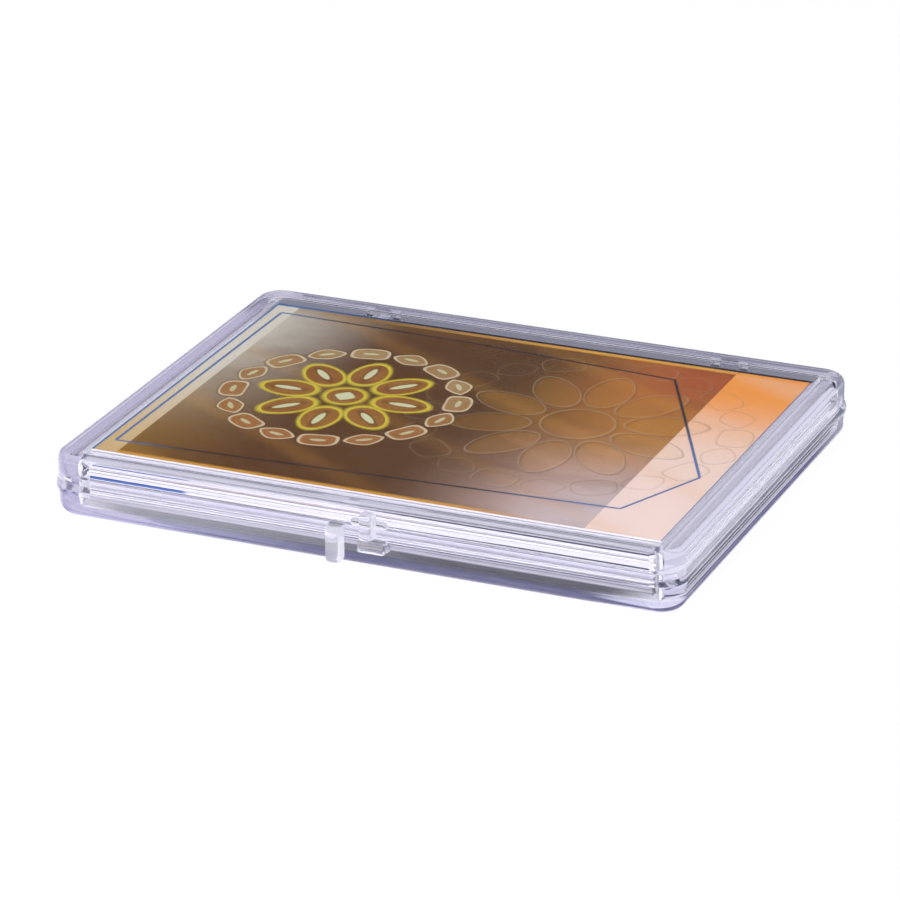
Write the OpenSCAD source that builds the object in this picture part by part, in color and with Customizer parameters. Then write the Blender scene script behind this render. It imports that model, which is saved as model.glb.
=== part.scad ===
// Hinged clear plastic case that lies flat and holds a stack of trading cards.
// X runs along the long side, the lid hinges at the back (+Y), the thumb tabs are at the front (-Y).
// The case rests on z = 0 and +Z is up.

/* [Cards] */
// Length of one card
card_length = 88.9; // [80:0.1:100]
// Width of one card
card_width = 63.5; // [56:0.1:76]
// Thickness of one card
card_thick = 0.35; // [0.3:0.01:0.5]
// Largest shift of a card from the middle of the case
card_shift = 0.2; // [0:0.05:0.3]

/* [Case] */
// Room between the cards and each end wall
end_room = 0.65; // [0.5:0.05:3]
// Room between the cards and the front and rear walls
side_room = 2.45; // [0.5:0.05:4]
// Radius of the corners seen from above
corner_radius = 3.8; // [3:0.2:6]
// Rounding of the top edge
top_round = 1.2; // [0.6:0.1:2]
// Rounding of the bottom edge
bottom_round = 2; // [0.6:0.1:2.4]

/* [Walls] */
// Thickness of the two end walls
end_wall = 3.6; // [3.2:0.1:5]
// Thickness of the front and rear walls
side_wall = 2.9; // [2.6:0.1:5]
// Thickness of the lid plate
lid_plate = 1.3; // [1:0.1:2]
// Thickness of the base floor
base_floor = 1.4; // [1:0.1:2]
// Thickness of the lid skirt outside the base lip
skirt_wall = 1.7; // [1.3:0.1:1.8]
// How far the parting bead stands out
bead_out = 0.35; // [0.1:0.05:0.4]

/* [Thumb tabs] */
// Distance the lid tab stands in front of the wall
tab_out = 2.5; // [2.2:0.1:4]
// Width of the lid tab
tab_width = 2.4; // [1.6:0.1:3]
// Width of the base tongue
tongue_width = 2.3; // [2:0.1:3.4]
// Thickness of the base tongue
tongue_thick = 1.5; // [1:0.1:1.6]

/* [Hinge] */
// Distance of each hinge from the middle of the case
hinge_spread = 29; // [20:0.5:38]
// Diameter of the moulded hinge pins
pin_diameter = 1.4; // [1.2:0.05:1.6]
// Radial play between a hinge pin and its hole
pin_play = 0.05; // [0.03:0.01:0.08]

/* [Hidden] */
$fn = 64;

// Stack of cards
card_count = 18;
card_gap = 0.031;
card_pitch = card_thick + card_gap;
card_turn = 0.12;
floor_gap = 0.02;
plate_gap = 0.122;
stack_height = card_count * card_pitch;

// Size of the case around the cards
inner_length = card_length + 2 * end_room;
inner_width = card_width + 2 * side_room;
case_length = inner_length + 2 * end_wall;
case_width = inner_width + 2 * side_wall;
lid_under = base_floor + floor_gap + stack_height + plate_gap;
case_height = lid_under + lid_plate;
front_y = -case_width / 2;
rear_y = case_width / 2;
inner_corner = 1.2;
inner_round = 0.4;

// Parting line, bead, lip and rabbet
seam_drop = 0.25;
seam_z = case_height / 2 - seam_drop;
seam_gap = 0.03;
lid_z = seam_z + seam_gap;
bead_half = 1.1;
bead_radius = (bead_half * bead_half + bead_out * bead_out) / (2 * bead_out);
lip_rise = 1.3;
lip_play = 0.12;
rabbet_rise = lip_rise + 0.15;
skirt_corner = corner_radius - skirt_wall;
lip_corner = skirt_corner - lip_play;

// Thumb tabs
tab_gap = 2.85;
tab_x = -tab_gap / 2 - tab_width + 0.075;
tab_rise = 1.9;
tab_top = seam_z + tab_rise;
tab_bottom = 0.9;
tab_stand = 0.2;
tab_round = 0.8;
tab_foot_round = 0.9;
tongue_x = tab_gap / 2 - 0.025;
tongue_stand = 0.7;
tongue_drop = 0.5;
tongue_top = case_height - tongue_drop;
tongue_round = 1;
foot_width = tongue_width + 1.9;
foot_drop = 1.2;
foot_rise = 0.8;
foot_bottom = seam_z - foot_drop;
foot_top = seam_z + foot_rise;
foot_round = 0.4;
bridge_gap = 0.15;
bridge_top = seam_z - bridge_gap;
ridge_radius = 0.7;
ridge_inset = 0.1;
ridge_length = tongue_width + 3.4;
ridge_x = tongue_x + tongue_width / 2 - 0.2;
ridge_z = seam_z + 2.35;
bite = 0.4;

// Hinge
hinge_back = 2;
hinge_rise = 0.3;
hinge_y = rear_y + hinge_back;
hinge_z = seam_z + hinge_rise;
knuckle_radius = 1.5;
ear_width = 1.6;
finger_width = 2.7;
finger_play = 0.1;
ear_offset = finger_width / 2 + finger_play;
pin_length = 1.3;
ear_web_top = seam_z - bridge_gap;
finger_web_bottom = 2 * hinge_z - ear_web_top;
hinge_sides = [-1, 1];

// Place of a card, counted from the top
function cardShiftX(i) = card_shift * sin(i * 137);
function cardShiftY(i) = card_shift * cos(i * 83);
function cardTurn(i) = card_turn * sin(i * 211);
function cardZ(i) = base_floor + floor_gap + (card_count - i) * card_pitch;

// Sector of wall section outside a rounded edge
module edgeCut(r) {
    difference() {
        square([r + 1, r + 1]);
        circle(r = r);
    }
}

// Section of a solid edge: the wall face is at x = 0 and the solid lies on the side of negative x
module wallSection(depth, z0, z1, round_low, round_high) {
    difference() {
        translate([-depth, z0])
            square([depth, z1 - z0]);
        if (round_high > 0)
            translate([-round_high, z1 - round_high])
                edgeCut(round_high);
        if (round_low > 0)
            translate([-round_low, z0 + round_low])
                mirror([0, 1])
                    edgeCut(round_low);
    }
}

// Section of the outer edge with its half of the parting bead
module beadSection(depth, z0, z1, round_low, round_high) {
    wallSection(depth, z0, z1, round_low, round_high);
    intersection() {
        translate([bead_out - bead_radius, seam_z])
            circle(r = bead_radius);
        translate([-depth, z0])
            square([depth + bead_radius, z1 - z0]);
    }
}

// Solid with rounded corners whose edge follows the section given as a child
module slab(len, wid, r, z0, z1) {
    for (sx = [-1, 1])
        for (sy = [-1, 1])
            translate([sx * (len / 2 - r), sy * (wid / 2 - r), 0])
                rotate_extrude()
                    intersection() {
                        translate([r, 0])
                            children();
                        translate([0, z0])
                            square([2 * r + 1, z1 - z0]);
                    }
    translate([-(len / 2 - r), 0, 0])
        rotate([90, 0, 90])
            linear_extrude(len - 2 * r)
                barSection(wid, r, z0, z1)
                    children();
    translate([0, wid / 2 - r, 0])
        rotate([90, 0, 0])
            linear_extrude(wid - 2 * r)
                barSection(len, r, z0, z1)
                    children();
}

// Full section across the case with the edge section on both sides
module barSection(width, r, z0, z1) {
    translate([width / 2, 0])
        children();
    mirror([1, 0])
        translate([width / 2, 0])
            children();
    translate([-(width / 2 - r) - r / 2, z0])
        square([width - r, z1 - z0]);
}

// Straight sided block with rounded corners
module prism(len, wid, r, z0, z1) {
    slab(len, wid, r, z0, z1)
        wallSection(r, z0, z1, 0, 0);
}

// Base tray, without its tab and hinge ears
module trayShell() {
    difference() {
        union() {
            slab(case_length, case_width, corner_radius, 0, seam_z)
                beadSection(corner_radius, 0, seam_z, bottom_round, 0);
            prism(case_length - 2 * skirt_wall - 2 * lip_play, case_width - 2 * skirt_wall - 2 * lip_play,
                lip_corner, base_floor, seam_z + lip_rise);
        }
        slab(inner_length, inner_width, inner_corner, base_floor, case_height)
            wallSection(inner_corner, base_floor, case_height, inner_round, 0);
    }
}

// Lid cover, without its tab, catch ridge and hinge fingers
module coverShell() {
    difference() {
        slab(case_length, case_width, corner_radius, lid_z, case_height)
            beadSection(corner_radius, lid_z, case_height, 0, top_round);
        slab(inner_length, inner_width, inner_corner, 0, lid_under)
            wallSection(inner_corner, 0, lid_under, 0, inner_round);
        prism(case_length - 2 * skirt_wall, case_width - 2 * skirt_wall, skirt_corner, 0, seam_z + rabbet_rise);
    }
}

// Outline of a tab seen from the front, with rounded corners at one end
module tabFace(width, low, high, r) {
    difference() {
        translate([0, low])
            square([width, high - low]);
        translate([width - r, high - r])
            edgeCut(r);
        translate([r, high - r])
            mirror([1, 0])
                edgeCut(r);
    }
}

// Thumb tab that hangs from the lid
module lidTab() {
    intersection() {
        translate([tab_x, front_y + bite, 0])
            rotate([90, 0, 0])
                linear_extrude(tab_out + bite)
                    translate([0, tab_top + tab_bottom])
                        mirror([0, 1])
                            tabFace(tab_width, tab_bottom, tab_top, tab_round);
        translate([tab_x - 1, 0, 0])
            rotate([90, 0, 90])
                linear_extrude(tab_width + 2)
                    lidTabSide();
    }
}

// Outline of the lid tab seen from the side
module lidTabSide() {
    difference() {
        translate([front_y - tab_out, tab_bottom])
            square([tab_out + bite, tab_top - tab_bottom]);
        translate([front_y - tab_out + tab_foot_round, tab_bottom + tab_foot_round])
            mirror([1, 0])
                mirror([0, 1])
                    edgeCut(tab_foot_round);
        translate([front_y - tab_out + tab_round, tab_top - tab_round])
            mirror([1, 0])
                edgeCut(tab_round);
        translate([front_y - bead_out - tab_stand, 0])
            square([tab_out, lid_z]);
    }
}

// Thumb tab that stands on the base, with its foot
module baseTab() {
    translate([tongue_x, front_y - tongue_stand, 0])
        rotate([90, 0, 0])
            linear_extrude(tongue_thick)
                tabFace(tongue_width, foot_bottom, tongue_top, tongue_round);
    translate([tongue_x, front_y - tongue_stand, 0])
        rotate([90, 0, 0])
            linear_extrude(tongue_thick)
                tabFace(foot_width, foot_bottom, foot_top, foot_round);
    translate([tongue_x, front_y - tongue_stand - bite, foot_bottom])
        cube([foot_width, tongue_stand + 2 * bite, bridge_top - foot_bottom]);
}

// Half-round catch on the front wall of the lid, behind the base tongue
module catchRidge() {
    translate([ridge_x, front_y + ridge_inset, ridge_z]) {
        rotate([0, 90, 0])
            cylinder(r = ridge_radius, h = ridge_length - 2 * ridge_radius, center = true);
        for (s = [-1, 1])
            translate([s * (ridge_length / 2 - ridge_radius), 0, 0])
                sphere(r = ridge_radius);
    }
}

// One hinge ear of the base, whose inner face is at x = 0
module ear() {
    rotate([0, 90, 0])
        cylinder(r = knuckle_radius, h = ear_width);
    translate([0, rear_y - hinge_y - bite, -knuckle_radius])
        cube([ear_width, hinge_y - rear_y + bite, ear_web_top - hinge_z + knuckle_radius]);
}

// Pair of ears on the base at one hinge, with the hole for the pins
module earPair() {
    difference() {
        for (s = [0, 1])
            mirror([s, 0, 0])
                translate([ear_offset, 0, 0])
                    ear();
        rotate([0, 90, 0])
            cylinder(r = pin_diameter / 2 + pin_play, h = 2 * ear_offset + 2 * ear_width + 2, center = true);
    }
}

// Finger of the lid at one hinge, with its two moulded pins
module finger() {
    rotate([0, 90, 0])
        cylinder(r = knuckle_radius, h = finger_width, center = true);
    rotate([0, 90, 0])
        cylinder(r = pin_diameter / 2, h = finger_width + 2 * pin_length, center = true);
    translate([-finger_width / 2, rear_y - hinge_y - bite, finger_web_bottom - hinge_z])
        cube([finger_width, hinge_y - rear_y + bite, knuckle_radius - finger_web_bottom + hinge_z]);
}

// The bottom half of the case
module base() {
    color([0.87, 0.87, 0.95, 0.35]) {
        trayShell();
        baseTab();
        for (s = hinge_sides)
            translate([s * hinge_spread, hinge_y, hinge_z])
                earPair();
    }
}

// The top half of the case
module lid() {
    color([0.9, 0.9, 0.97, 0.35]) {
        coverShell();
        lidTab();
        catchRidge();
        for (s = hinge_sides)
            translate([s * hinge_spread, hinge_y, hinge_z])
                finger();
    }
}

// Loose card number i, counted from the top of the stack
module card(i) {
    translate([cardShiftX(i), cardShiftY(i), cardZ(i)])
        rotate([0, 0, cardTurn(i)])
            translate([-card_length / 2, -card_width / 2, 0])
                cube([card_length, card_width, card_thick]);
}

// The top card, seen through the lid
module displayCard() {
    color([0.55, 0.4, 0.24])
        translate([-card_length / 2, -card_width / 2, cardZ(1)])
            cube([card_length, card_width, card_thick]);
}

// One of the cards below it
module plainCard(i) {
    color([0.93, 0.92, 0.9])
        card(i);
}

base();
lid();
displayCard();  // display_card
plainCard(2);  // card_02
plainCard(3);  // card_03
plainCard(4);  // card_04
plainCard(5);  // card_05
plainCard(6);  // card_06
plainCard(7);  // card_07
plainCard(8);  // card_08
plainCard(9);  // card_09
plainCard(10);  // card_10
plainCard(11);  // card_11
plainCard(12);  // card_12
plainCard(13);  // card_13
plainCard(14);  // card_14
plainCard(15);  // card_15
plainCard(16);  // card_16
plainCard(17);  // card_17
plainCard(18);  // card_18
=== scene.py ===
import math

import bmesh
import bpy
from mathutils import Matrix, Vector


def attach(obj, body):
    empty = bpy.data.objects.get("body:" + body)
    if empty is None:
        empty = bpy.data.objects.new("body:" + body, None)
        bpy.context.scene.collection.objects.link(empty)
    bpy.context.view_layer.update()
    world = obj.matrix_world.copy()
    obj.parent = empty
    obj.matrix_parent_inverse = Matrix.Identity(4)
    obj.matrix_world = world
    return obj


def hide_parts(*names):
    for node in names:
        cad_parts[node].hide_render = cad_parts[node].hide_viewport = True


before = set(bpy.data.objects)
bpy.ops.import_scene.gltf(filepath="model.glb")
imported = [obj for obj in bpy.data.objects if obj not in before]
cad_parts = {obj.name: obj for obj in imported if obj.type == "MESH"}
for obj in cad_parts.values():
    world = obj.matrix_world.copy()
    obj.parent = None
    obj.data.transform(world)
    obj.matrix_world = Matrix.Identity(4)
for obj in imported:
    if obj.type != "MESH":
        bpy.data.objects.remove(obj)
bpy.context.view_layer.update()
mm = 0.001
print("frame loaded")


class Signal:
    def __init__(self, shader, socket):
        self.shader, self.socket = shader, socket

    def maths(self, operation, other=0.0):
        return self.shader.node(
            "ShaderNodeMath", {"operation": operation}, {0: self, 1: other}
        )

    def __add__(self, other):
        return self.maths("ADD", other)

    def __radd__(self, other):
        return self.maths("ADD", other)

    def __sub__(self, other):
        return self.maths("SUBTRACT", other)

    def __rsub__(self, other):
        return self.shader.node(
            "ShaderNodeMath", {"operation": "SUBTRACT"}, {0: other, 1: self}
        )

    def __mul__(self, other):
        return self.maths("MULTIPLY", other)

    def __rmul__(self, other):
        return self.maths("MULTIPLY", other)

    def __truediv__(self, other):
        return self.maths("DIVIDE", other)

    def __rtruediv__(self, other):
        return self.shader.node(
            "ShaderNodeMath", {"operation": "DIVIDE"}, {0: other, 1: self}
        )

    def __pow__(self, other):
        return self.maths("POWER", other)

    def __abs__(self):
        return self.maths("ABSOLUTE")

    def rise(self, low, high):  # 0 below low, 1 above high, smooth between
        return self.shader.node(
            "ShaderNodeMapRange",
            {"interpolation_type": "SMOOTHSTEP"},
            {"Value": self, "From Min": low, "From Max": high},
        )

    def band(self, low, high, soft):  # 1 between low and high
        return self.rise(low - soft, low + soft) * (
            1 - self.rise(high - soft, high + soft)
        )


class Shader:
    def __init__(self, name, world=None):
        self.owner = world or bpy.data.materials.new(name)
        self.owner.use_nodes = True
        self.tree = self.owner.node_tree
        self.tree.nodes.clear()
        ending = "ShaderNodeOutputWorld" if world else "ShaderNodeOutputMaterial"
        self.output = self.tree.nodes.new(ending)

    def node(self, kind, settings=None, values=None, output=0):
        made = self.tree.nodes.new(kind)
        for key, value in (settings or {}).items():
            setattr(made, key, value)
        for key, value in (values or {}).items():
            if isinstance(value, Signal):
                self.tree.links.new(value.socket, made.inputs[key])
            elif isinstance(value, tuple) and made.inputs[key].type == "RGBA":
                made.inputs[key].default_value = (*value, 1.0)
            else:
                made.inputs[key].default_value = value
        return Signal(self, made.outputs[output])

    def mix(self, factor, first, second):  # two colours
        settings = {"data_type": "RGBA", "clamp_factor": True}
        return self.node(
            "ShaderNodeMix", settings, {0: factor, 6: first, 7: second}, 2
        )

    def place(self):  # the point on the piece, as three signals in millimetres
        point = self.node("ShaderNodeTexCoord", output=3)
        return [
            self.node("ShaderNodeSeparateXYZ", None, {0: point}, axis) * 1000
            for axis in range(3)
        ]

    def scaled(self, scale, turn=0.0):  # the point on the piece, for a texture
        point = self.node("ShaderNodeTexCoord", output=3)
        return self.node(
            "ShaderNodeMapping",
            None,
            {0: point, "Rotation": (0, 0, turn), "Scale": scale},
        )

    def lightPath(self, output):
        return self.node("ShaderNodeLightPath", output=output)

    def emit(self, tone, strength=1.0):
        values = {"Color": tone, "Strength": strength}
        return self.node("ShaderNodeEmission", None, values)

    def blend(self, factor, first, second):  # two surfaces
        return self.node("ShaderNodeMixShader", None, {0: factor, 1: first, 2: second})

    def noise(self, scale, detail=2.0, rough=0.5, turn=0.0):
        values = {
            "Vector": self.scaled(scale, turn),
            "Scale": 1.0,
            "Detail": detail,
            "Roughness": rough,
        }
        return self.node("ShaderNodeTexNoise", None, values)

    def finish(self, surface, volume=None):
        self.tree.links.new(surface.socket, self.output.inputs["Surface"])
        if volume:
            self.tree.links.new(volume.socket, self.output.inputs["Volume"])
        return self.owner


plastic = {
    "ior": 1.59,
    "tint": (0.975, 0.972, 0.99),
    "shadowTint": (0.93, 0.92, 0.96),
    "volumeColour": (0.46, 0.44, 0.72),
    "volumeDensity": 20.0,
    "roughness": 0.012,
    "scuff": 0.012,
    "ripple": 0.008,
    "rippleScale": (160, 120, 260),
    "scuffScale": (1500, 1500, 1500),
    "glintScale": (420, 420, 420),
    "mirrorings": 2,  # light mirrored this often inside counts as trapped
    # painted light and shade given to light caught inside the walls, by place; glowDark
    # and the corner tones are painted shade, spark a painted glint
    "glowLow": (0.16, 0.16, 0.29),
    "glowLowLeft": (0.42, 0.42, 0.58),
    "glowFront": (0.70, 0.69, 0.80),
    "glowLowRight": (0.84, 0.84, 1.0),
    "glowLeft": (0.74, 0.70, 0.86),
    "glowRight": (0.66, 0.65, 0.78),
    "glowRightTop": (0.86, 0.85, 0.97),
    "glowDark": (0.07, 0.08, 0.14),
    "glowRear": (0.33, 0.33, 0.42),
    "glowCorner": (0.22, 0.21, 0.32),
    "glowCornerLeft": (0.26, 0.25, 0.38),
    "glowLatch": (0.74, 0.74, 0.88),
    "spark": (0.90, 0.90, 0.97),
    "tabGlow": 0.22,  # painted glow: the thumb tabs glow paler than the walls
    "tabGlowTone": (0.90, 0.90, 1.0),
}


zones = {  # where the painted tone of the trapped light changes, in millimetres
    "lowX": (-34, -8),
    "lowRightX": (30, 36),
    "lowLeftX": (-40, -37),
    "frontWallY": (-34, -32),
    "tabX": (-6.4, -2.2, 0.5),
    "tabY": (-35, -34),
    "stackZ": (1.4, 4.2),
    "seamGlintZ": (4.8, 7.6, 0.2),
    "seamGlintX": (10, 38, 4),
    "rearWallY": (32, 35),
    "rightTopZ": (7.3, 7.7),
    "rightLineZ": (5.7, 6.2, 0.1),
    "rightWallX": (44.4, 45.6),
    "leftWallX": (-46.0, -44.6),
    "cornerX": (44.6, 46.2),
    "cornerY": (-35.5, -33.5),
    "sidesX": (-1, 1),
    "latchY": (-37.7, -37.4),
    "glintX": (-37, -25, 3),
    "glintY": (-30, -26),
    "glintRightX": (44, 46),
    "glintRightY": (-33, -22, 3),
    "glintZ": (2.5, 3.5),
    "tabGlowX": (-0.5, 0.5),
    "tabGlowY": (-37.9, -37.6),
}


def paintedTrappedGlow(shader, ripple):  # painted light and shade: emitted tones, set by place, stand in for light that stays inside the walls
    x, y, z = shader.place()
    low = shader.mix(
        x.rise(*zones["lowX"]), plastic["glowLowLeft"], plastic["glowLow"]
    )
    behind = y.rise(*zones["frontWallY"])  # past the front wall
    place = x.rise(*zones["lowRightX"]) * behind
    low = shader.mix(place, low, plastic["glowLowRight"])
    place = (1 - x.rise(*zones["lowLeftX"])) * behind
    low = shader.mix(place, low, plastic["glowLeft"])
    tab = x.band(*zones["tabX"]) * (1 - y.rise(*zones["tabY"]))  # seen through the tab
    low = shader.mix(tab, low, plastic["glowLatch"])
    glow = shader.mix(z.rise(*zones["stackZ"]), low, plastic["glowFront"])
    # painted highlight along the seam on the front
    seam = z.band(*zones["seamGlintZ"]) * x.band(*zones["seamGlintX"]) * (1 - behind)
    glow = shader.mix(seam * 0.7, glow, plastic["spark"])
    glow = shader.mix(y.rise(*zones["rearWallY"]), glow, plastic["glowRear"])
    top = z.rise(*zones["rightTopZ"])
    side = shader.mix(top, plastic["glowRight"], plastic["glowRightTop"])
    # painted shade: a dark line along the right-hand wall
    side = shader.mix(z.band(*zones["rightLineZ"]), side, plastic["glowDark"])
    place = x.rise(*zones["rightWallX"]) * y.rise(*zones["cornerY"])
    glow = shader.mix(place, glow, side)
    glow = shader.mix(1 - x.rise(*zones["leftWallX"]), glow, plastic["glowLeft"])
    # painted shade in the front corners of the two ends
    corner = shader.mix(
        x.rise(*zones["sidesX"]), plastic["glowCornerLeft"], plastic["glowCorner"]
    )
    ends = abs(x).rise(*zones["cornerX"]) * (1 - y.rise(*zones["cornerY"]))
    glow = shader.mix(ends, glow, corner)
    glow = shader.mix(1 - y.rise(*zones["latchY"]), glow, plastic["glowLatch"])
    # painted glints where the ripple runs high
    glow = shader.mix(ripple.rise(0.5, 0.8) * 0.25, glow, plastic["spark"])
    # painted glints low on the front wall's left part and on the right-hand end
    glints = shader.noise(plastic["glintScale"], 2.0, 0.6).rise(0.55, 0.66)
    place = x.band(*zones["glintX"]) * (1 - y.rise(*zones["glintY"]))
    right = x.rise(*zones["glintRightX"]) * y.band(*zones["glintRightY"])
    glints = glints * place.maths("MAXIMUM", right) * (1 - z.rise(*zones["glintZ"]))
    return shader.emit(shader.mix(glints, glow, plastic["spark"]))


def clearPlastic(name):
    shader = Shader(name)
    ripple = shader.noise(plastic["rippleScale"], 2.0, 0.45)
    scuff = shader.noise(plastic["scuffScale"], 3.0, 0.6)
    relief = {"Strength": plastic["ripple"], "Distance": 0.0004, "Height": ripple}
    wear = scuff.rise(0.62, 0.8) * plastic["scuff"]
    values = {
        "Base Color": plastic["tint"],
        "Roughness": plastic["roughness"] + wear,
        "IOR": plastic["ior"],
        "Transmission Weight": 1.0,
        "Normal": shader.node("ShaderNodeBump", None, relief),
    }
    solid = shader.node("ShaderNodeBsdfPrincipled", None, values)
    mirrored = shader.lightPath("Glossy Depth")
    trapped = mirrored.maths("GREATER_THAN", plastic["mirrorings"] - 0.5)
    # light mirrored this often inside the wall shows painted tones instead
    solid = shader.blend(trapped, solid, paintedTrappedGlow(shader, ripple))
    x, y, z = shader.place()
    # painted glow on the tabs in front of the front wall, weaker on the tongue
    outside = 1 - y.rise(*zones["tabGlowY"])
    outside *= 1 - x.rise(*zones["tabGlowX"]) * 0.75
    tabGlow = outside * (plastic["tabGlow"] + ripple.rise(0.3, 0.7) * plastic["tabGlow"])
    solid = shader.blend(tabGlow, solid, shader.emit(plastic["tabGlowTone"]))
    tint = {0: plastic["shadowTint"]}
    seeThrough = shader.node("ShaderNodeBsdfTransparent", None, tint)
    lampRay = shader.lightPath("Is Shadow Ray") + shader.lightPath("Is Diffuse Ray")
    surface = shader.blend(lampRay, solid, seeThrough)
    depth = {"Color": plastic["volumeColour"], "Density": plastic["volumeDensity"]}
    absorbed = shader.node("ShaderNodeVolumeAbsorption", None, depth)
    return shader.finish(surface, absorbed)


def pieceFrom(name, bm):
    bmesh.ops.remove_doubles(bm, verts=bm.verts, dist=0.0005 * mm)
    bmesh.ops.recalc_face_normals(bm, faces=bm.faces)
    mesh = bpy.data.meshes.new(name)
    bm.to_mesh(mesh)
    bm.free()
    piece = bpy.data.objects.new(name, mesh)
    bpy.context.collection.objects.link(piece)
    return piece


def ringOf(halfX, halfY, radius, z):
    return {"halfX": halfX, "halfY": halfY, "radius": radius, "z": z}


def moveRing(face, old, new):  # slides the corners of a rounded outline to another size
    for vert in face.verts:
        sideX, sideY = math.copysign(1, vert.co.x), math.copysign(1, vert.co.y)
        oldX = sideX * (old["halfX"] - old["radius"])
        oldY = sideY * (old["halfY"] - old["radius"])
        wayX = (vert.co.x / mm - oldX) / old["radius"]
        wayY = (vert.co.y / mm - oldY) / old["radius"]
        vert.co.x = mm * (sideX * (new["halfX"] - new["radius"]) + new["radius"] * wayX)
        vert.co.y = mm * (sideY * (new["halfY"] - new["radius"]) + new["radius"] * wayY)
        vert.co.z = mm * new["z"]


def stackRings(rings, cornerSteps):  # a closed shell through each outline in turn
    bm = bmesh.new()
    first = rings[0]
    bmesh.ops.create_grid(bm, x_segments=1, y_segments=1, size=1.0)
    bmesh.ops.scale(
        bm, vec=(first["halfX"] * mm, first["halfY"] * mm, 1), verts=bm.verts
    )
    bmesh.ops.bevel(
        bm,
        geom=list(bm.verts),
        offset=first["radius"] * mm,
        offset_type="OFFSET",
        affect="VERTICES",
        segments=cornerSteps,
        profile=0.5,
        material=-1,
    )
    face = bm.faces[:][0]
    moveRing(face, first, first)
    for old, new in zip(rings, rings[1:]):
        grown = bmesh.ops.extrude_face_region(bm, geom=[face])
        if old is not first:  # only the first outline stays closed
            bmesh.ops.delete(bm, geom=[face], context="FACES_ONLY")
        face = [g for g in grown["geom"] if isinstance(g, bmesh.types.BMFace)][0]
        moveRing(face, old, new)
    return bm


def arcRings(base, radius, start, end, steps, centreX, centreZ):
    # outlines along a quarter round; angle 0 points outwards and 90 points up
    rings = []
    for step in range(steps + 1):
        angle = math.radians(start + (end - start) * step / steps)
        out = centreX + radius * math.cos(angle)
        rings.append(
            ringOf(
                base["halfX"] + out,
                base["halfY"] + out,
                base["radius"] + out,
                centreZ + radius * math.sin(angle),
            )
        )
    return rings


def roundedBlock(bm, low, high, rounding, steps=3, edges=None):
    made = bmesh.ops.create_cube(bm, size=1.0)["verts"]
    size = [(h - l) * mm for l, h in zip(low, high)]
    bmesh.ops.scale(bm, vec=size, verts=made)
    middle = [(h + l) / 2 * mm for l, h in zip(low, high)]
    bmesh.ops.translate(bm, vec=middle, verts=made)
    picked = {e for v in made for e in v.link_edges}
    if edges:
        picked = {e for e in picked if edges(*[v.co / mm for v in e.verts])}
    if picked and rounding:
        bmesh.ops.bevel(
            bm,
            geom=list(picked),
            offset=rounding * mm,
            offset_type="OFFSET",
            affect="EDGES",
            segments=steps,
            profile=0.5,
            material=-1,
        )


def rod(bm, radius, length, middle, steps=40, rounding=0.0):
    made = bmesh.ops.create_cone(
        bm,
        cap_ends=True,
        segments=steps,
        radius1=radius * mm,
        radius2=radius * mm,
        depth=length * mm,
    )["verts"]
    edges = {e for v in made for e in v.link_edges}
    rims = [e for e in edges if len(e.link_faces) == 2]
    rims = [e for e in rims if any(len(f.verts) > 4 for f in e.link_faces)]
    if rounding:
        made = bmesh.ops.bevel(
            bm,
            geom=rims,
            offset=rounding * mm,
            offset_type="OFFSET",
            affect="EDGES",
            segments=3,
            profile=0.5,
            material=-1,
        )["verts"] + [v for v in made if v.is_valid]
    made = list({v for v in made if v.is_valid})
    bmesh.ops.rotate(
        bm, cent=(0, 0, 0), matrix=Matrix.Rotation(math.radians(90), 3, "Y"), verts=made
    )
    bmesh.ops.translate(bm, vec=Vector(middle) * mm, verts=made)


def joined(piece, tools, operation="UNION"):  # welds or cuts, one shape at a time
    for bm in tools:
        tool = pieceFrom(piece.name + "_tool", bm)
        weld = piece.modifiers.new("weld", "BOOLEAN")
        weld.operation, weld.solver, weld.object = operation, "EXACT", tool
        graph = bpy.context.evaluated_depsgraph_get()
        mesh = bpy.data.meshes.new_from_object(piece.evaluated_get(graph))
        piece.modifiers.clear()
        old, piece.data = piece.data, mesh
        bpy.data.meshes.remove(old)
        toolMesh = tool.data
        bpy.data.objects.remove(tool)
        bpy.data.meshes.remove(toolMesh)


def polish(piece, angle):  # smooth over the rounds, crisp over the corners
    piece.data.shade_smooth()
    piece.data.set_sharp_from_angle(angle=math.radians(angle))
    even = piece.modifiers.new("even", "WEIGHTED_NORMAL")
    even.keep_sharp = True
    even.weight = 100


def dress(piece, material, slotName, body, *nodes):
    piece.data.materials.clear()
    piece.data.materials.append(material)
    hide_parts(*nodes)
    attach(piece, body)


case = {
    "halfX": 48.7,
    "halfY": 37.1,
    "radius": 3.8,
    "height": 9.7,
    "seam": 4.6,
    "seamGap": 0.03,
    "topRound": 1.2,
    "bottomRound": 2.0,
    "beadOut": 0.35,
    "beadHalf": 1.1,
    "innerX": 45.1,
    "innerY": 34.2,
    "innerCorner": 1.2,
    "innerRound": 0.4,
    "floor": 1.4,
    "plateUnder": 8.4,
    "skirt": 1.7,
    "lipPlay": 0.12,
    "lipRise": 1.3,
    "rabbetRise": 1.45,
    "lipSoft": 0.12,  # small rounds on the edges of the lip and the skirt
    "skirtSoft": 0.1,
    "cornerSteps": 14,
}
outer = ringOf(case["halfX"], case["halfY"], case["radius"], 0)
inner = ringOf(case["innerX"], case["innerY"], case["innerCorner"], 0)
beadRadius = (case["beadHalf"] ** 2 + case["beadOut"] ** 2) / (2 * case["beadOut"])
beadAngle = math.degrees(math.asin(case["beadHalf"] / beadRadius))
beadCentre = case["beadOut"] - beadRadius


def insetRing(source, distance, z):
    return ringOf(
        source["halfX"] - distance,
        source["halfY"] - distance,
        source["radius"] - distance,
        z,
    )


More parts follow.
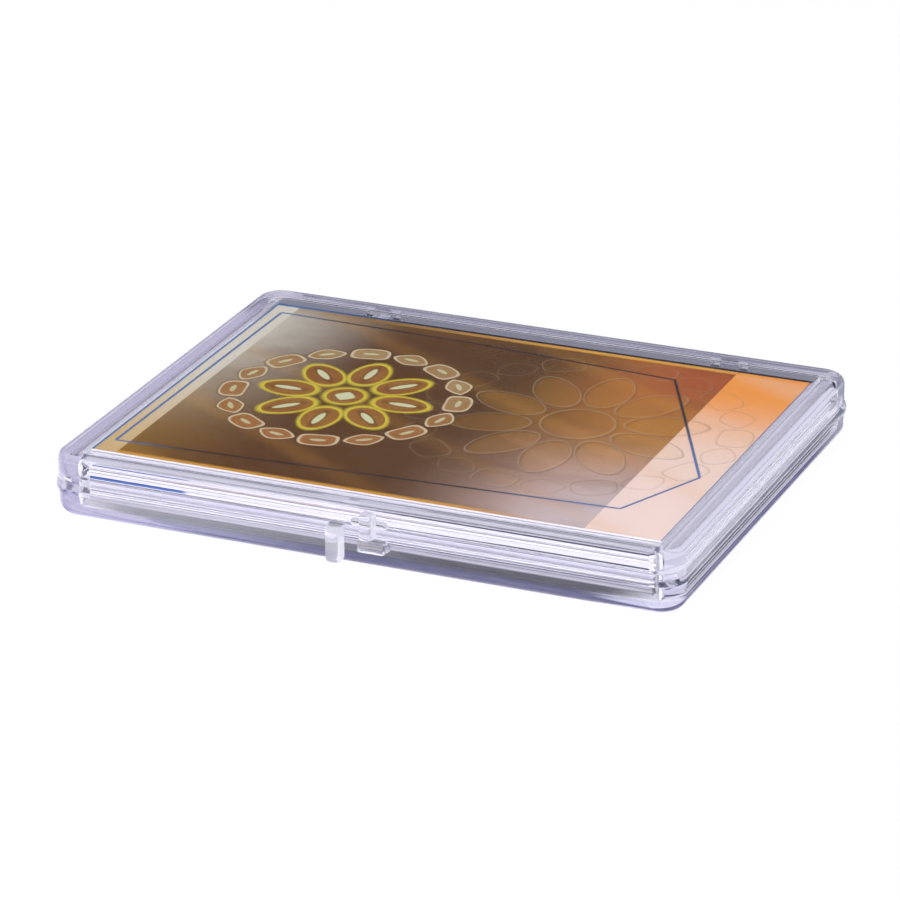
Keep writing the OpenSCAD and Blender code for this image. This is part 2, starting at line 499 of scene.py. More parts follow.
def baseShell():
    lipOut, lipTop = case["skirt"] + case["lipPlay"], case["seam"] + case["lipRise"]
    soft = case["lipSoft"]
    low = case["bottomRound"]
    rings = arcRings(outer, low, -90, 0, 8, -low, low)
    rings += arcRings(outer, beadRadius, -beadAngle, -2, 5, beadCentre, case["seam"])
    rings += [insetRing(outer, soft - case["beadOut"], case["seam"])]
    rings += [insetRing(outer, lipOut, case["seam"])]
    lip = insetRing(outer, lipOut, 0)
    rings += arcRings(lip, soft, 0, 90, 3, -soft, lipTop - soft)
    rings += arcRings(inner, soft, 90, 180, 3, soft, lipTop - soft)
    turn = case["innerRound"]
    rings += arcRings(inner, turn, 0, -90, 4, -turn, case["floor"] + turn)
    return stackRings(rings, case["cornerSteps"])


def lidShell():
    seam = case["seam"] + case["seamGap"]
    soft = case["skirtSoft"]
    high = case["topRound"]
    rings = arcRings(outer, high, 90, 0, 7, -high, case["height"] - high)
    rings += arcRings(outer, beadRadius, beadAngle, 2, 5, beadCentre, case["seam"])
    rings += [insetRing(outer, soft - case["beadOut"], seam)]
    skirt = insetRing(outer, case["skirt"], 0)
    rings += [insetRing(outer, case["skirt"] - soft, seam)]
    rings += [insetRing(outer, case["skirt"], seam + soft)]
    step = case["seam"] + case["rabbetRise"]
    rings += [insetRing(outer, case["skirt"], step)]
    rings += arcRings(inner, soft, 270, 180, 3, soft, step + soft)
    turn = case["innerRound"]
    rings += arcRings(inner, turn, 0, 90, 4, -turn, case["plateUnder"] - turn)
    return stackRings(rings, case["cornerSteps"])


latch = {
    "tabX": -3.75,
    "tabWidth": 2.4,
    "tabOut": 2.5,
    "tabLow": 0.9,
    "tabHigh": 6.5,
    "tabStand": 0.55,
    "tabRound": 0.85,
    "armOut": 1.6,
    "armRound": 0.12,
    "tongueX": 1.4,
    "tongueWidth": 2.3,
    "tongueThick": 1.5,
    "tongueStand": 0.7,
    "tongueHigh": 9.2,
    "tongueRound": 0.7,
    "footWidth": 4.2,
    "footLow": 3.4,
    "footHigh": 5.4,
    "footRound": 0.35,
    "bridgeHigh": 4.45,
    "ridgeX": 2.35,
    "ridgeInset": 0.1,
    "ridgeLength": 5.7,
    "ridgeRadius": 0.7,
    "ridgeRound": 0.62,
    "ridgeZ": 6.95,
    "bite": 0.4,  # how far an added shape reaches into the wall
    "inset": 0.02,  # keeps the faces of welded shapes apart
}
front = -case["halfY"]


def tabEdges(a, b):  # all edges of the tab's outer face
    return a.y < front - 2 or b.y < front - 2


def armEdges(a, b):  # the top edges
    return a.z > 6 and b.z > 6


def tongueEdges(a, b):  # the sides of the top and the uprights of the outer face
    outer = front - latch["tongueStand"] - 1
    top = a.z > 9 and b.z > 9 and abs(a.x - b.x) < 1
    return top or a.x == b.x and a.y < outer and b.y < outer


def footEdges(a, b):  # the top edges and the right-hand edges
    return a.z > 5 and b.z > 5 or a.x > 4 and b.x > 4


def lidTab():
    hanging, arm = bmesh.new(), bmesh.new()
    left = latch["tabX"]
    right = latch["tabX"] + latch["tabWidth"]
    inset = latch["inset"]
    roundedBlock(
        hanging,
        (left, front - latch["tabOut"], latch["tabLow"]),
        (right, front - latch["tabStand"], latch["tabHigh"]),
        latch["tabRound"],
        7,
        tabEdges,
    )
    roundedBlock(
        arm,
        (left + inset, front - latch["armOut"], case["seam"] + case["seamGap"]),
        (right - inset, front + latch["bite"], latch["tabHigh"] - inset),
        latch["armRound"],
        2,
        armEdges,
    )
    return [hanging, arm]


def catchRidge():
    ridge = bmesh.new()
    middle = (latch["ridgeX"], front + latch["ridgeInset"], latch["ridgeZ"])
    size = (latch["ridgeRadius"], latch["ridgeLength"])
    rod(ridge, *size, middle, 40, latch["ridgeRound"])
    return [ridge]


def baseTongue():
    tongue, foot, bridge = bmesh.new(), bmesh.new(), bmesh.new()
    x, low, inset = latch["tongueX"], latch["footLow"], latch["inset"]
    y = front - latch["tongueStand"]
    outer = y - latch["tongueThick"]
    right = x + latch["footWidth"]
    roundedBlock(
        tongue,
        (x, outer, low),
        (x + latch["tongueWidth"], y, latch["tongueHigh"]),
        latch["tongueRound"],
        5,
        tongueEdges,
    )
    roundedBlock(
        foot,
        (x + inset / 2, outer + inset / 2, low + inset / 2),
        (right, y - inset / 2, latch["footHigh"]),
        latch["footRound"],
        4,
        footEdges,
    )
    roundedBlock(
        bridge,
        (x + inset, y - latch["bite"], low + inset),
        (right - inset, front + latch["bite"], latch["bridgeHigh"]),
        0.0,
    )
    return [tongue, foot, bridge]


hinge = {
    "spread": 29.0,
    "y": 39.1,
    "z": 4.9,
    "knuckle": 1.5,
    "earWidth": 1.6,
    "earOffset": 1.45,
    "fingerWidth": 2.7,
    "pinRadius": 0.7,
    "holeRadius": 0.75,
    "pinLength": 1.3,
    "holeLength": 8.0,
    "earWebHigh": 4.45,
    "fingerWebLow": 5.35,
    "rimRound": 0.12,
    "pinRound": 0.15,
    "bite": 0.4,
    "inset": 0.02,
}


def hingeWeb(middle, half, low, high):  # joins a knuckle to its wall
    web = bmesh.new()
    roundedBlock(
        web,
        (middle - half + hinge["inset"], case["halfY"] - hinge["bite"], low),
        (middle + half - hinge["inset"], hinge["y"], high),
        0.0,
    )
    return web


def hingeEars(side):
    parts = []
    width = hinge["earWidth"]
    low = hinge["z"] - hinge["knuckle"]
    for way in (-1, 1):
        x = side * hinge["spread"] + way * (hinge["earOffset"] + width / 2)
        middle = (x, hinge["y"], hinge["z"])
        ear = bmesh.new()
        rod(ear, hinge["knuckle"], width, middle, 48, hinge["rimRound"])
        parts += [ear, hingeWeb(x, width / 2, low, hinge["earWebHigh"])]
    return parts


def hingeHole(side):
    hole = bmesh.new()
    middle = (side * hinge["spread"], hinge["y"], hinge["z"])
    rod(hole, hinge["holeRadius"], hinge["holeLength"], middle, 40)
    return hole


def hingeFinger(side):
    x = side * hinge["spread"]
    middle = (x, hinge["y"], hinge["z"])
    width = hinge["fingerWidth"]
    high = hinge["z"] + hinge["knuckle"]
    finger, pin = bmesh.new(), bmesh.new()
    rod(finger, hinge["knuckle"], width, middle, 48, hinge["rimRound"])
    length = width + 2 * hinge["pinLength"]
    rod(pin, hinge["pinRadius"], length, middle, 40, hinge["pinRound"])
    return [finger, pin, hingeWeb(x, width / 2, hinge["fingerWebLow"], high)]


casePlastic = clearPlastic("caseClear")
tray = pieceFrom("caseTray", baseShell())
joined(tray, baseTongue() + hingeEars(-1) + hingeEars(1))
joined(tray, [hingeHole(-1), hingeHole(1)], "DIFFERENCE")
polish(tray, 40)
dress(tray, casePlastic, "clear_plastic", "case_base", "base")
print("tray", len(tray.data.polygons))

cover = pieceFrom("caseCover", lidShell())
joined(cover, lidTab() + catchRidge() + hingeFinger(-1) + hingeFinger(1))
polish(cover, 40)
dress(cover, casePlastic, "clear_plastic", "case_lid", "lid")
print("cover", len(cover.data.polygons))


cards = {
    "length": 88.9,
    "width": 63.5,
    "thick": 0.35,
    "gap": 0.031,
    "count": 18,
    "shift": 0.2,
    "turn": 0.12,
    "floorGap": 0.02,
    "edgeRound": 0.06,
}
pitch = cards["thick"] + cards["gap"]


def cutCard(index):  # counted from the top of the stack
    bm = bmesh.new()
    half, wide, thick = cards["length"] / 2, cards["width"] / 2, cards["thick"]
    roundedBlock(bm, (-half, -wide, 0), (half, wide, thick), cards["edgeRound"], 2)
    lift = case["floor"] + cards["floorGap"] + (cards["count"] - index) * pitch
    if index > 1:
        turn = math.radians(cards["turn"] * math.sin(math.radians(index * 211)))
        bmesh.ops.rotate(
            bm, cent=(0, 0, 0), matrix=Matrix.Rotation(turn, 3, "Z"), verts=bm.verts
        )
        shiftX = cards["shift"] * math.sin(math.radians(index * 137))
        shiftY = cards["shift"] * math.cos(math.radians(index * 83))
        bmesh.ops.translate(bm, vec=(shiftX * mm, shiftY * mm, 0), verts=bm.verts)
    bmesh.ops.translate(bm, vec=(0, 0, lift * mm), verts=bm.verts)
    return bm


stock = {
    "core": (0.94, 0.94, 0.93),
    "shade": (0.40, 0.40, 0.42),
    "grey": (0.33, 0.33, 0.35),
    "dark": (0.05, 0.055, 0.08),
    "gap": (0.10, 0.10, 0.12),
    "olive": (0.42, 0.39, 0.29),
    "tan": (0.50, 0.33, 0.20),
    "blue": (0.04, 0.13, 0.42),
    "pink": (0.80, 0.50, 0.55),
    "roughness": 0.62,
    "lowLevels": (2.0, 8.0),  # levels are cards counted from the floor
    "darkLine": (7.9, 9.5, 0.08),
    "darkLineX": (-6, 6),
    "blueLine": (8.5, 9.5, 0.1),
    "blueLineX": (-29.5, -28),
    "pinkLine": (12.5, 13.5, 0.1),
    "pinkLineX": (-32, 4, 5),
    "tanLine": (13.5, 14.5, 0.1),
    "rightX": (-34, 20),
    "endX": (44.0, 44.15),
    "leftEndX": (-44.3, -44.1),
}


def cutEdges(name):
    shader = Shader(name)
    x, y, z = shader.place()
    rise = (z - (case["floor"] + cards["floorGap"])) / pitch
    level, across = rise.maths("FLOOR"), rise.maths("FRACT")
    settings = {"noise_dimensions": "1D"}
    chance = shader.node("ShaderNodeTexWhiteNoise", settings, {"W": level + 0.5})
    second = shader.node("ShaderNodeTexWhiteNoise", settings, {"W": level + 40.5})
    fibres = shader.noise((14, 14, 9000), 3.0, 0.6)
    wave = shader.noise((22, 22, 2624), 2.0, 0.5)
    low = 1 - level.rise(*stock["lowLevels"])
    # a random tone per card; the cards low in the stack are darker and greyer, the more
    # so towards the right
    shaded = chance.rise(0.35, 0.95) * wave.rise(0.3, 0.6) * (0.2 + low * 0.5)
    tone = shader.mix(shaded, stock["core"], stock["shade"])
    right = x.rise(*stock["rightX"])
    tone = shader.mix(low * (0.45 + right * 0.45), tone, stock["grey"])
    olive = second.rise(0.4, 0.8) * low * wave.rise(0.3, 0.65) * 0.6
    tone = shader.mix(olive, tone, stock["olive"])
    # painted shade at the foot of the stack, towards the right
    tone = shader.mix((1 - level.rise(0.5, 2.5)) * right * 0.3, tone, stock["dark"])
    # painted shade: a dark line across the edges at the height of the case's seam,
    # where the lip darkens them
    line = rise.band(*stock["darkLine"]) * x.rise(*stock["darkLineX"])
    tone = shader.mix(line * wave.rise(0.2, 0.4), tone, stock["dark"])
    line = level.band(*stock["blueLine"]) * (1 - x.rise(*stock["blueLineX"]))
    tone = shader.mix(line, tone, stock["blue"])
    line = level.band(*stock["pinkLine"]) * x.band(*stock["pinkLineX"])
    tone = shader.mix(line * 0.4, tone, stock["pink"])
    # painted shade on the lower cards at the right-hand ends
    ends = x.rise(*stock["endX"])
    tone = shader.mix(ends * (1 - level.rise(4, 6.5)) * 0.9, tone, stock["dark"])
    tone = shader.mix(ends * level.band(*stock["tanLine"]) * 0.7, tone, stock["tan"])
    tone = shader.mix(fibres.rise(0.35, 0.75) * 0.12, tone, stock["shade"])
    seam = 1 - across.band(0.12, 0.86, 0.1)  # painted shade in the joint between two cards
    tone = shader.mix(seam * x.rise(*stock["leftEndX"]) * 0.38, tone, stock["gap"])
    relief = {"Strength": 0.06, "Distance": 0.00003, "Height": fibres}
    values = {
        "Base Color": tone,
        "Roughness": stock["roughness"],
        "Normal": shader.node("ShaderNodeBump", None, relief),
    }
    surface = shader.node("ShaderNodeBsdfPrincipled", None, values)
    return shader.finish(surface)


face = {
    "printedFrom": (8.18, 8.22),
    "leftBand": -40.4,
    "rightBlock": 32.8,
    "goldFrom": 29.9,
    "goldTo": 31.0,
    "lowGold": -30.9,
    "creamHigh": (0.74, 0.71, 0.54),
    "creamLow": (0.66, 0.47, 0.19),
    "gold": (0.76, 0.38, 0.04),
    "goldDim": (0.34, 0.19, 0.04),
    "blue": (0.05, 0.16, 0.36),
    "ink": (0.003, 0.005, 0.016),
    "hazeHigh": (0.64, 0.62, 0.48),
    "hazeLow": (0.23, 0.115, 0.012),
    "brown": (0.100, 0.036, 0.002),
    "umber": (0.085, 0.034, 0.002),
    "amber": (0.42, 0.175, 0.022),
    "rust": (0.41, 0.092, 0.014),
    "rose": (0.64, 0.55, 0.52),
    "orange": (0.96, 0.355, 0.05),
    "peach": (0.94, 0.71, 0.53),
    "blush": (0.98, 0.78, 0.64),
    "tanHigh": (0.40, 0.27, 0.10),
    "tanLow": (0.36, 0.15, 0.03),
    "outline": (0.66, 0.56, 0.32),
    "glow": (0.66, 0.56, 0.03),
    "gem": (0.34, 0.15, 0.018),
    "gemDeep": (0.28, 0.10, 0.012),
    "pale": (0.66, 0.70, 0.38),
    "lineWidth": 0.42,
    "relief": 0.18,
}
frameCorners = [
    (-42.2, 28.2),
    (-9.0, 27.2),
    (25.0, 24.6),
    (41.5, -9.0),
    (35.0, -23.5),
    (-42.6, -27.6),
]


def blob(x, y, middle, half, power):  # 1 on the outline, less inside
    across = abs(x - middle[0]) / half[0]
    along = abs(y - middle[1]) / half[1]
    return (across**power + along**power) ** (1 / power)


def ringOfGems(x, y, rosette, row):
    # 1 on the outline of each gem in a row round a middle, less inside
    u, v = x - rosette["middle"][0], y - rosette["middle"][1]
    radius = (u * u + v * v) ** 0.5
    step = v.maths("ARCTAN2", u) * (row["count"] / math.tau) + row.get("phase", 0.0)
    within = (step.maths("FRACT") - 0.5) * radius * (math.tau / row["count"])
    turn = (step.maths("FLOOR") * 0.5).maths("FRACT") * 2
    power = row["power"] - turn * row.get("powerTurn", 0.0)
    return blob(radius, within, (row["away"], 0), row["half"], power)


def stroke(x, y, start, end, width):  # a straight line of even width
    runX, runY = end[0] - start[0], end[1] - start[1]
    length = math.hypot(runX, runY)
    runX, runY = runX / length, runY / length
    along = (x - start[0]) * runX + (y - start[1]) * runY
    across = abs((x - start[0]) * runY - (y - start[1]) * runX)
    inside = 1 - across.rise(width * 0.35, width * 0.7)
    return inside * along.band(0, length, width * 0.3)


def groundInk(shader, x, y, mottle):  # the soft coloured ground
    # the ground lightens towards the rear: partly the print, partly a painted haze of
    # light mirrored in the lid
    haze = shader.mix(y.rise(-28, 32), face["hazeLow"], face["hazeHigh"])
    ground = shader.mix(x.rise(-41, -19) ** 0.7, haze, face["brown"])
    ground = shader.mix(x.rise(-12, 8), ground, face["umber"])
    ground = shader.mix(x.rise(0, 27), ground, face["amber"])
    ground = shader.mix(y.rise(3, 26) * x.rise(6, 30), ground, face["rust"])
    low = 1 - y.rise(-30, 6)
    ground = shader.mix(low * x.rise(-2, 34), ground, face["rose"])
    top = y.rise(24, 32) * (1 - x.rise(-30, 12))
    ground = shader.mix(top * 0.5, ground, face["hazeLow"])
    return shader.mix(mottle.rise(0.45, 0.75) * 0.25, ground, face["umber"])


rosette = {
    "middle": (-18.5, 0.3),
    "core": 3.1,
    "heart": (1.7, 1.7),
    "petals": {
        "count": 8,
        "away": 9.2,
        "half": (4.5, 2.95),
        "power": 1.9,
        "phase": 0.5,
    },
    "slots": {
        "count": 8,
        "away": 9.4,
        "half": (2.3, 0.62),
        "power": 2.0,
        "phase": 0.5,
    },
    "beads": {
        "count": 16,
        "away": 17.3,
        "half": (2.05, 3.05),
        "power": 3.2,
        "powerTurn": 1.75,
    },
    "dots": {"count": 16, "away": 17.3, "half": (0.42, 1.3), "power": 2.0},
}
ghost = {
    "middle": (18.0, 3.0),
    "core": 5.6,
    "petals": {"count": 10, "away": 13.0, "half": (6.2, 3.5), "power": 1.8},
    "beads": {
        "count": 20,
        "away": 23.4,
        "half": (2.6, 3.3),
        "power": 3.0,
        "powerTurn": 1.5,
    },
}


def reliefInk(shader, ground, x, y, shape, strength):
    # a pressed line, lit from one side
    lift = face["relief"]
    light, dark = shape(x + lift, y - lift), shape(x - lift, y + lift)
    shade, shine = dark.band(0.95, 1.04, 0.03), light.band(0.97, 1.02, 0.03)
    ground = shader.mix(shade * strength, ground, face["brown"])
    return shader.mix(shine * strength, ground, face["outline"])


def ghostInk(shader, x, y, ground):  # rays, a darker wedge and a large pressed rosette
    ray = (x * 0.5 + y * 0.87).maths("PINGPONG", 9.0)
    ground = shader.mix(ray.rise(6.0, 8.8) * 0.12, ground, face["gold"])
    wedge = (0 - y * 0.8 - x * 0.6).rise(-1.6, -1.2)
    wedge *= (x * 0.9 - y * 0.5).rise(1.0, 1.4)
    ground = shader.mix(wedge * (1 - x.rise(8, 26)) * 0.35, ground, face["brown"])
    petal = ringOfGems(x, y, ghost, ghost["petals"])
    ground = shader.mix((1 - petal.rise(0.85, 1.05)) * 0.12, ground, face["gold"])
    core = (ghost["core"], ghost["core"])
    shapes = [
        (lambda u, v: ringOfGems(u, v, ghost, ghost["petals"]), 0.30),
        (lambda u, v: ringOfGems(u, v, ghost, ghost["beads"]), 0.24),
        (lambda u, v: blob(u, v, ghost["middle"], core, 2.0), 0.30),
    ]
    for shape, strength in shapes:
        ground = reliefInk(shader, ground, x, y, shape, strength)
    return ground


def beadInk(shader, x, y, mottle, ground):  # small tan gems with pale rims, in a ring
    gem = ringOfGems(x, y, rosette, rosette["beads"])
    ground = shader.mix((1 - gem.rise(1.0, 1.25)) * 0.6, ground, face["brown"])
    fill = shader.mix(y.rise(-16, 18), face["tanLow"], face["tanHigh"])
    fill = shader.mix(mottle.rise(0.4, 0.7) * 0.4, fill, face["gemDeep"])
    ground = shader.mix(1 - gem.rise(0.97, 1.03), ground, fill)
    ground = shader.mix(gem.band(0.86, 1.02, 0.04) * 0.95, ground, face["outline"])
    dot = ringOfGems(x, y, rosette, rosette["dots"])
    return shader.mix((1 - dot.rise(0.8, 1.15)) * 0.7, ground, face["pale"])


def glowInk(shader, x, y, mottle, ground):  # large amber gems in a yellow glow
    petal = ringOfGems(x, y, rosette, rosette["petals"])
    core = blob(x, y, rosette["middle"], (rosette["core"], rosette["core"]), 2.0)
    ground = shader.mix((1 - core.rise(1.0, 1.3)) * 0.8, ground, face["glow"])
    ground = shader.mix((1 - petal.rise(1.0, 1.2)) * 0.8, ground, face["glow"])
    fill = shader.mix(mottle.rise(0.3, 0.7), face["gem"], face["gemDeep"])
    for gem in (petal, core):
        ground = shader.mix(1 - gem.rise(0.93, 0.99), ground, fill)
        ground = shader.mix(gem.band(0.62, 0.66, 0.02) * 0.35, ground, face["brown"])
        ground = shader.mix(gem.band(0.90, 1.02, 0.03), ground, face["glow"])
    slot = ringOfGems(x, y, rosette, rosette["slots"])
    ground = shader.mix(slot.band(1.0, 1.5, 0.15) * 0.5, ground, face["brown"])
    ground = shader.mix(1 - slot.rise(0.85, 1.05), ground, face["pale"])
    heart = blob(x, y, rosette["middle"], rosette["heart"], 1.2)
    return shader.mix(1 - heart.rise(0.9, 1.05), ground, face["pale"])


def blockInk(shader, x, y, ground):  # the pale block at the right end
    block = shader.mix(y.rise(-4, 24), face["peach"], face["orange"])
    block = shader.mix(1 - y.rise(-28, 8), block, face["blush"])
    sweep = (x * 0.5 + y * 0.87).maths("PINGPONG", 9.0)
    block = shader.mix(sweep.rise(4, 9) * 0.3, block, face["peach"])
    edge = face["rightBlock"]
    return shader.mix(x.rise(edge - 0.05, edge + 0.05), ground, block)


def borderInk(shader, x, y, ground):  # the strips round the picture
    gold = shader.mix(x.rise(-26, 14), face["goldDim"], face["gold"])
    gold = shader.mix(x.rise(26, 40), gold, face["orange"])
    edge = face["goldFrom"]
    strip = y.rise(edge - 0.25, edge + 0.45) * x.rise(-42, -20)
    ground = shader.mix(strip, ground, gold)
    edge = face["lowGold"]
    strip = (1 - y.rise(edge - 0.4, edge + 0.4)) * (1 - x.rise(12, 30))
    ground = shader.mix(strip * 0.8, ground, face["gold"])
    cream = shader.mix(y.rise(-34, 12), face["creamLow"], face["creamHigh"])
    edge = face["leftBand"]
    ground = shader.mix(1 - x.rise(edge - 0.1, edge + 0.1), ground, cream)
    ground = shader.mix(1 - x.rise(-44.2, -43.9), ground, face["blue"])
    ground = shader.mix(x.rise(44.15, 44.25) * 0.7, ground, face["blue"])
    # a dark strip along the rear edge, blue at the left end
    rim = shader.mix(x.rise(-43, -14), face["blue"], face["ink"])
    edge = face["goldTo"]
    return shader.mix(y.rise(edge - 0.1, edge + 0.1), ground, rim)


def lineInk(shader, x, y, ground):  # one thin line round the picture
    line = None
    for start, end in zip(frameCorners, frameCorners[1:] + frameCorners[:1]):
        part = stroke(x, y, start, end, face["lineWidth"])
        line = part if line is None else line.maths("MAXIMUM", part)
    away = (1 - x.rise(-41, -30)).maths("MAXIMUM", (x - y * 0.5).rise(24, 42))
    return shader.mix(line * 0.95, ground, shader.mix(away, face["ink"], face["blue"]))


def printedFace(name):
    shader = Shader(name)
    x, y, z = shader.place()
    mottle = shader.noise((60, 180, 20), 3.0, 0.55, 0.2)
    grain = shader.noise((2200, 2200, 2200), 2.0, 0.5)
    ground = groundInk(shader, x, y, mottle)
    ground = blockInk(shader, x, y, ground)
    ground = ghostInk(shader, x, y, ground)
    ground = beadInk(shader, x, y, mottle, ground)
    ground = glowInk(shader, x, y, mottle, ground)
    ground = borderInk(shader, x, y, ground)
    ground = lineInk(shader, x, y, ground)
    ground = shader.mix(grain.rise(0.3, 0.8) * 0.04, ground, face["outline"])
    printed = z.rise(*face["printedFrom"])  # the cut edges stay white
    tone = shader.mix(printed, stock["core"], ground)
    values = {
        "Base Color": tone,
        "Roughness": 0.34 + grain * 0.1,
        "Specular IOR Level": 0.05,
    }
    return shader.finish(shader.node("ShaderNodeBsdfPrincipled", None, values))


faceInk = printedFace("cardPrint")
edgeStock = cutEdges("cardEdges")
for index in range(1, cards["count"] + 1):
    nodeName = "display_card" if index == 1 else "card_%02d" % index
    pieceName = "printedCard" if index == 1 else "plainCard.%02d" % index
    card = pieceFrom(pieceName, cutCard(index))
    polish(card, 60)
    if index == 1:
        dress(card, faceInk, "card_face", "case_base", nodeName)
    else:
        dress(card, edgeStock, "card_stock", "case_base", nodeName)
print("cards", cards["count"])


room = {
    "floorTone": (0.80, 0.80, 0.86),
    "floorWhite": 0.92,
    "floorThrough": 0.25,
    "floorGlossy": 0.20,
    "horizon": (0.46, 0.46, 0.55),
    "sky": (0.95, 0.95, 1.0),
    "worldStrength": 0.36,
    "worldThrough": 0.6,
    "worldGlossy": 0.2,
}


def paleFloor():
    bm = bmesh.new()
    bmesh.ops.create_grid(bm, x_segments=1, y_segments=1, size=3.0)
    bmesh.ops.translate(bm, vec=(0, 0, -0.02 * mm), verts=bm.verts)
    floor = pieceFrom("floor", bm)
    shader = Shader("floorPaper")
    matt = shader.node("ShaderNodeBsdfDiffuse", None, {"Color": room["floorTone"]})
    factor = shader.lightPath("Is Camera Ray") * room["floorWhite"]
    factor += shader.lightPath("Is Transmission Ray") * room["floorThrough"]
    factor += shader.lightPath("Is Glossy Ray") * room["floorGlossy"]
    paper = shader.blend(factor, matt, shader.emit((1, 1, 1)))
    floor.data.materials.append(shader.finish(paper))


def softWorld():
    world = bpy.data.worlds.new("studio")
    bpy.context.scene.world = world
    shader = Shader("studio", world)
    direction = shader.node("ShaderNodeTexCoord", output=0)
    height = shader.node("ShaderNodeSeparateXYZ", None, {0: direction}, 2)
    tone = shader.mix(height.rise(0.0, 0.8), room["horizon"], room["sky"])
    values = {"Color": tone, "Strength": room["worldStrength"]}
    studio = shader.node("ShaderNodeBackground", None, values)
    factor = shader.lightPath("Is Camera Ray")
    factor += shader.lightPath("Is Transmission Ray") * room["worldThrough"]
    factor += shader.lightPath("Is Glossy Ray") * room["worldGlossy"]
    values = {"Color": (1, 1, 1), "Strength": 1.0}
    white = shader.node("ShaderNodeBackground", None, values)
    shader.finish(shader.blend(factor, studio, white))


paintedSheets = {
    # painted reflection: a dark standing sheet, mirrored in the top of the lid
    "back": {
        "place": (-0.15, 0.32, 0.22),
        "size": (1.10, 0.44),
        "stand": 90,
        "low": (0.01, 0.01, 0.015),
        "high": (0.05, 0.045, 0.05),
    },
    # painted shade: a dark sheet on the floor in front, seen in the front wall
    "front": {
        "place": (-0.01, -0.056, 0.0),
        "size": (0.13, 0.036),
        "low": (0.10, 0.10, 0.14),
        "high": (0.10, 0.10, 0.14),
    },
    # painted shadow on the floor behind the case, seen through the rear wall
    "behind": {
        "place": (-0.01, 0.062, 0.0),
        "size": (0.15, 0.044),
        "low": (0.34, 0.35, 0.42),
        "high": (0.34, 0.35, 0.42),
        "clear": 0.0015,  # not seen through an open lid that lies on it
    },
    # painted contact shadow under the front of the case, darker towards the right
    "under": {
        "place": (0.0, -0.0325, 0.0),
        "size": (0.088, 0.008),
        "low": (0.34, 0.35, 0.40),
        "high": (0.06, 0.06, 0.085),
    },
    # painted light: a pale sheet under the right-hand wall
    "right": {
        "place": (0.0455, 0.0, 0.0),
        "size": (0.007, 0.080),
        "low": (0.92, 0.90, 1.0),
        "high": (0.92, 0.90, 1.0),
    },
    # painted shade: a dark strip on the floor beside the right-hand wall, mirrored low
    # in it
    "rightEdge": {
        "place": (0.0510, 0.002, 0.0),
        "size": (0.0040, 0.092),
        "low": (0.05, 0.06, 0.10),
        "high": (0.05, 0.06, 0.10),
    },
    # painted light: a pale sheet under the latch, seen through the tabs
    "latch": {
        "place": (-0.004, -0.046, 0.0001),
        "size": (0.018, 0.016),
        "low": (0.85, 0.85, 0.95),
        "high": (0.85, 0.85, 0.95),
    },
}


def sheetOfPaintedLight(name, place, size, low, high, stand=0, clear=0):
    # painted light and shade: a dark or pale glowing sheet, seen only in and through
    # the plastic; soft edges if it lies
    bm = bmesh.new()
    bmesh.ops.create_grid(bm, x_segments=1, y_segments=1, size=0.5)
    bmesh.ops.scale(bm, vec=(size[0], size[1], 1), verts=bm.verts)
    turn = Matrix.Rotation(math.radians(stand), 3, "X")
    bmesh.ops.rotate(bm, cent=(0, 0, 0), matrix=turn, verts=bm.verts)
    bmesh.ops.translate(bm, vec=place, verts=bm.verts)
    board = pieceFrom(name + "Flag", bm)
    shader = Shader(name + "Cloth")
    x, y, z = shader.place()
    ramp = (x * 0.9 + z).rise(-20, 110) if stand else x.rise(-40, 18)
    sheetTone = shader.emit(shader.mix(ramp, low, high))
    if not stand:
        reach = [extent * 500 for extent in size]
        middle = [extent * 1000 for extent in place]
        edgeX = 1 - abs(x - middle[0]).rise(reach[0] * 0.8, reach[0])
        edgeY = 1 - abs(y - middle[1]).rise(reach[1] * 0.5, reach[1])
        gone = shader.node("ShaderNodeBsdfTransparent")
        seen = edgeX * edgeY
        if clear:
            seen *= shader.lightPath("Ray Length").maths("GREATER_THAN", clear)
        sheetTone = shader.blend(seen, gone, sheetTone)
    board.data.materials.append(shader.finish(sheetTone))
    board.visible_camera = board.visible_diffuse = False
    board.visible_shadow = board.visible_volume_scatter = False


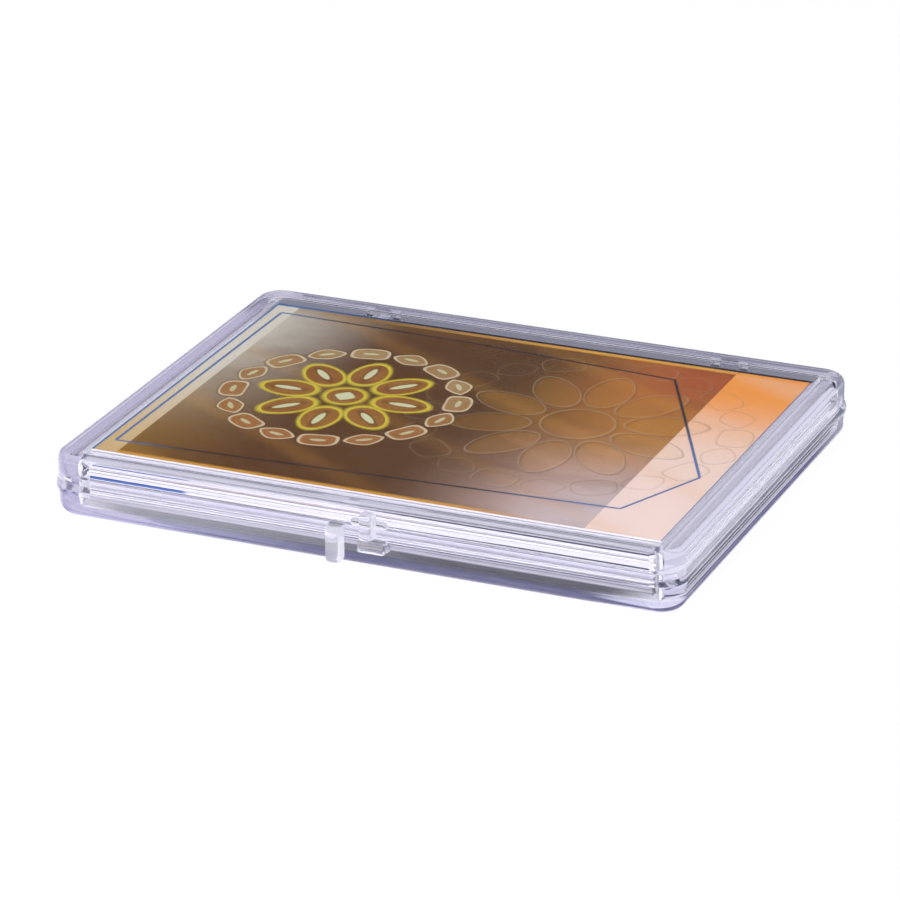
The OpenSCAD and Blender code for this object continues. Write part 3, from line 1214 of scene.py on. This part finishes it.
lamps = {
    "overhead": {"place": (-0.15, 0.10, 0.95), "size": (0.7, 0.5), "power": 5.6},
    "frontKey": {"place": (0.20, -0.95, 0.42), "size": (0.8, 0.35), "power": 12.5},
    "leftWindow": {"place": (-0.90, -0.15, 0.38), "size": (0.5, 0.35), "power": 3.2},
    "rightWindow": {"place": (0.90, 0.05, 0.38), "size": (0.5, 0.35), "power": 3.6},
}


def softbox(name, place, size, power):  # a white lamp that faces the case
    light = bpy.data.lights.new(name, "AREA")
    light.shape, light.size, light.size_y = "RECTANGLE", size[0], size[1]
    light.energy = power
    lamp = bpy.data.objects.new(name, light)
    lamp.location = Vector(place)
    # the lid would mirror it over the card in other views
    lamp.visible_glossy = lamp.visible_transmission = False
    lamp.rotation_euler = (-Vector(place)).to_track_quat("-Z", "Y").to_euler()
    bpy.context.collection.objects.link(lamp)


camera = {
    "azimuth": 23.66,
    "elevation": 22.82,
    "roll": -0.70,
    "distance": 664.4,
    "target": (0.35, -3.87, 5.0),
    "focalPixels": 4502.0,
    "picturePixels": 900,
    "sensor": 36.0,
}


def photoCamera():
    a, e, r = (math.radians(camera[key]) for key in ("azimuth", "elevation", "roll"))
    back = Vector((math.sin(a) * math.cos(e), -math.cos(a) * math.cos(e), math.sin(e)))
    right = Vector((math.cos(a), math.sin(a), 0))
    up = back.cross(right)
    level = right * math.cos(r) + up * math.sin(r)
    plumb = up * math.cos(r) - right * math.sin(r)
    lens = bpy.data.cameras.new("photoLens")
    lens.sensor_width = camera["sensor"]
    lens.lens = camera["focalPixels"] / camera["picturePixels"] * lens.sensor_width
    lens.clip_start, lens.clip_end = 0.01, 20
    eye = bpy.data.objects.new("photoCamera", lens)
    turn = Matrix((level, plumb, back)).transposed().to_4x4()
    spot = (Vector(camera["target"]) + back * camera["distance"]) * mm
    eye.matrix_world = Matrix.Translation(spot) @ turn
    bpy.context.collection.objects.link(eye)
    bpy.context.scene.camera = eye


paleFloor()
softWorld()
for name, settings in paintedSheets.items():
    sheetOfPaintedLight(name, **settings)
for name, settings in lamps.items():
    softbox(name, **settings)
photoCamera()
bpy.context.scene.view_settings.view_transform = "Standard"
print("room, light and camera")
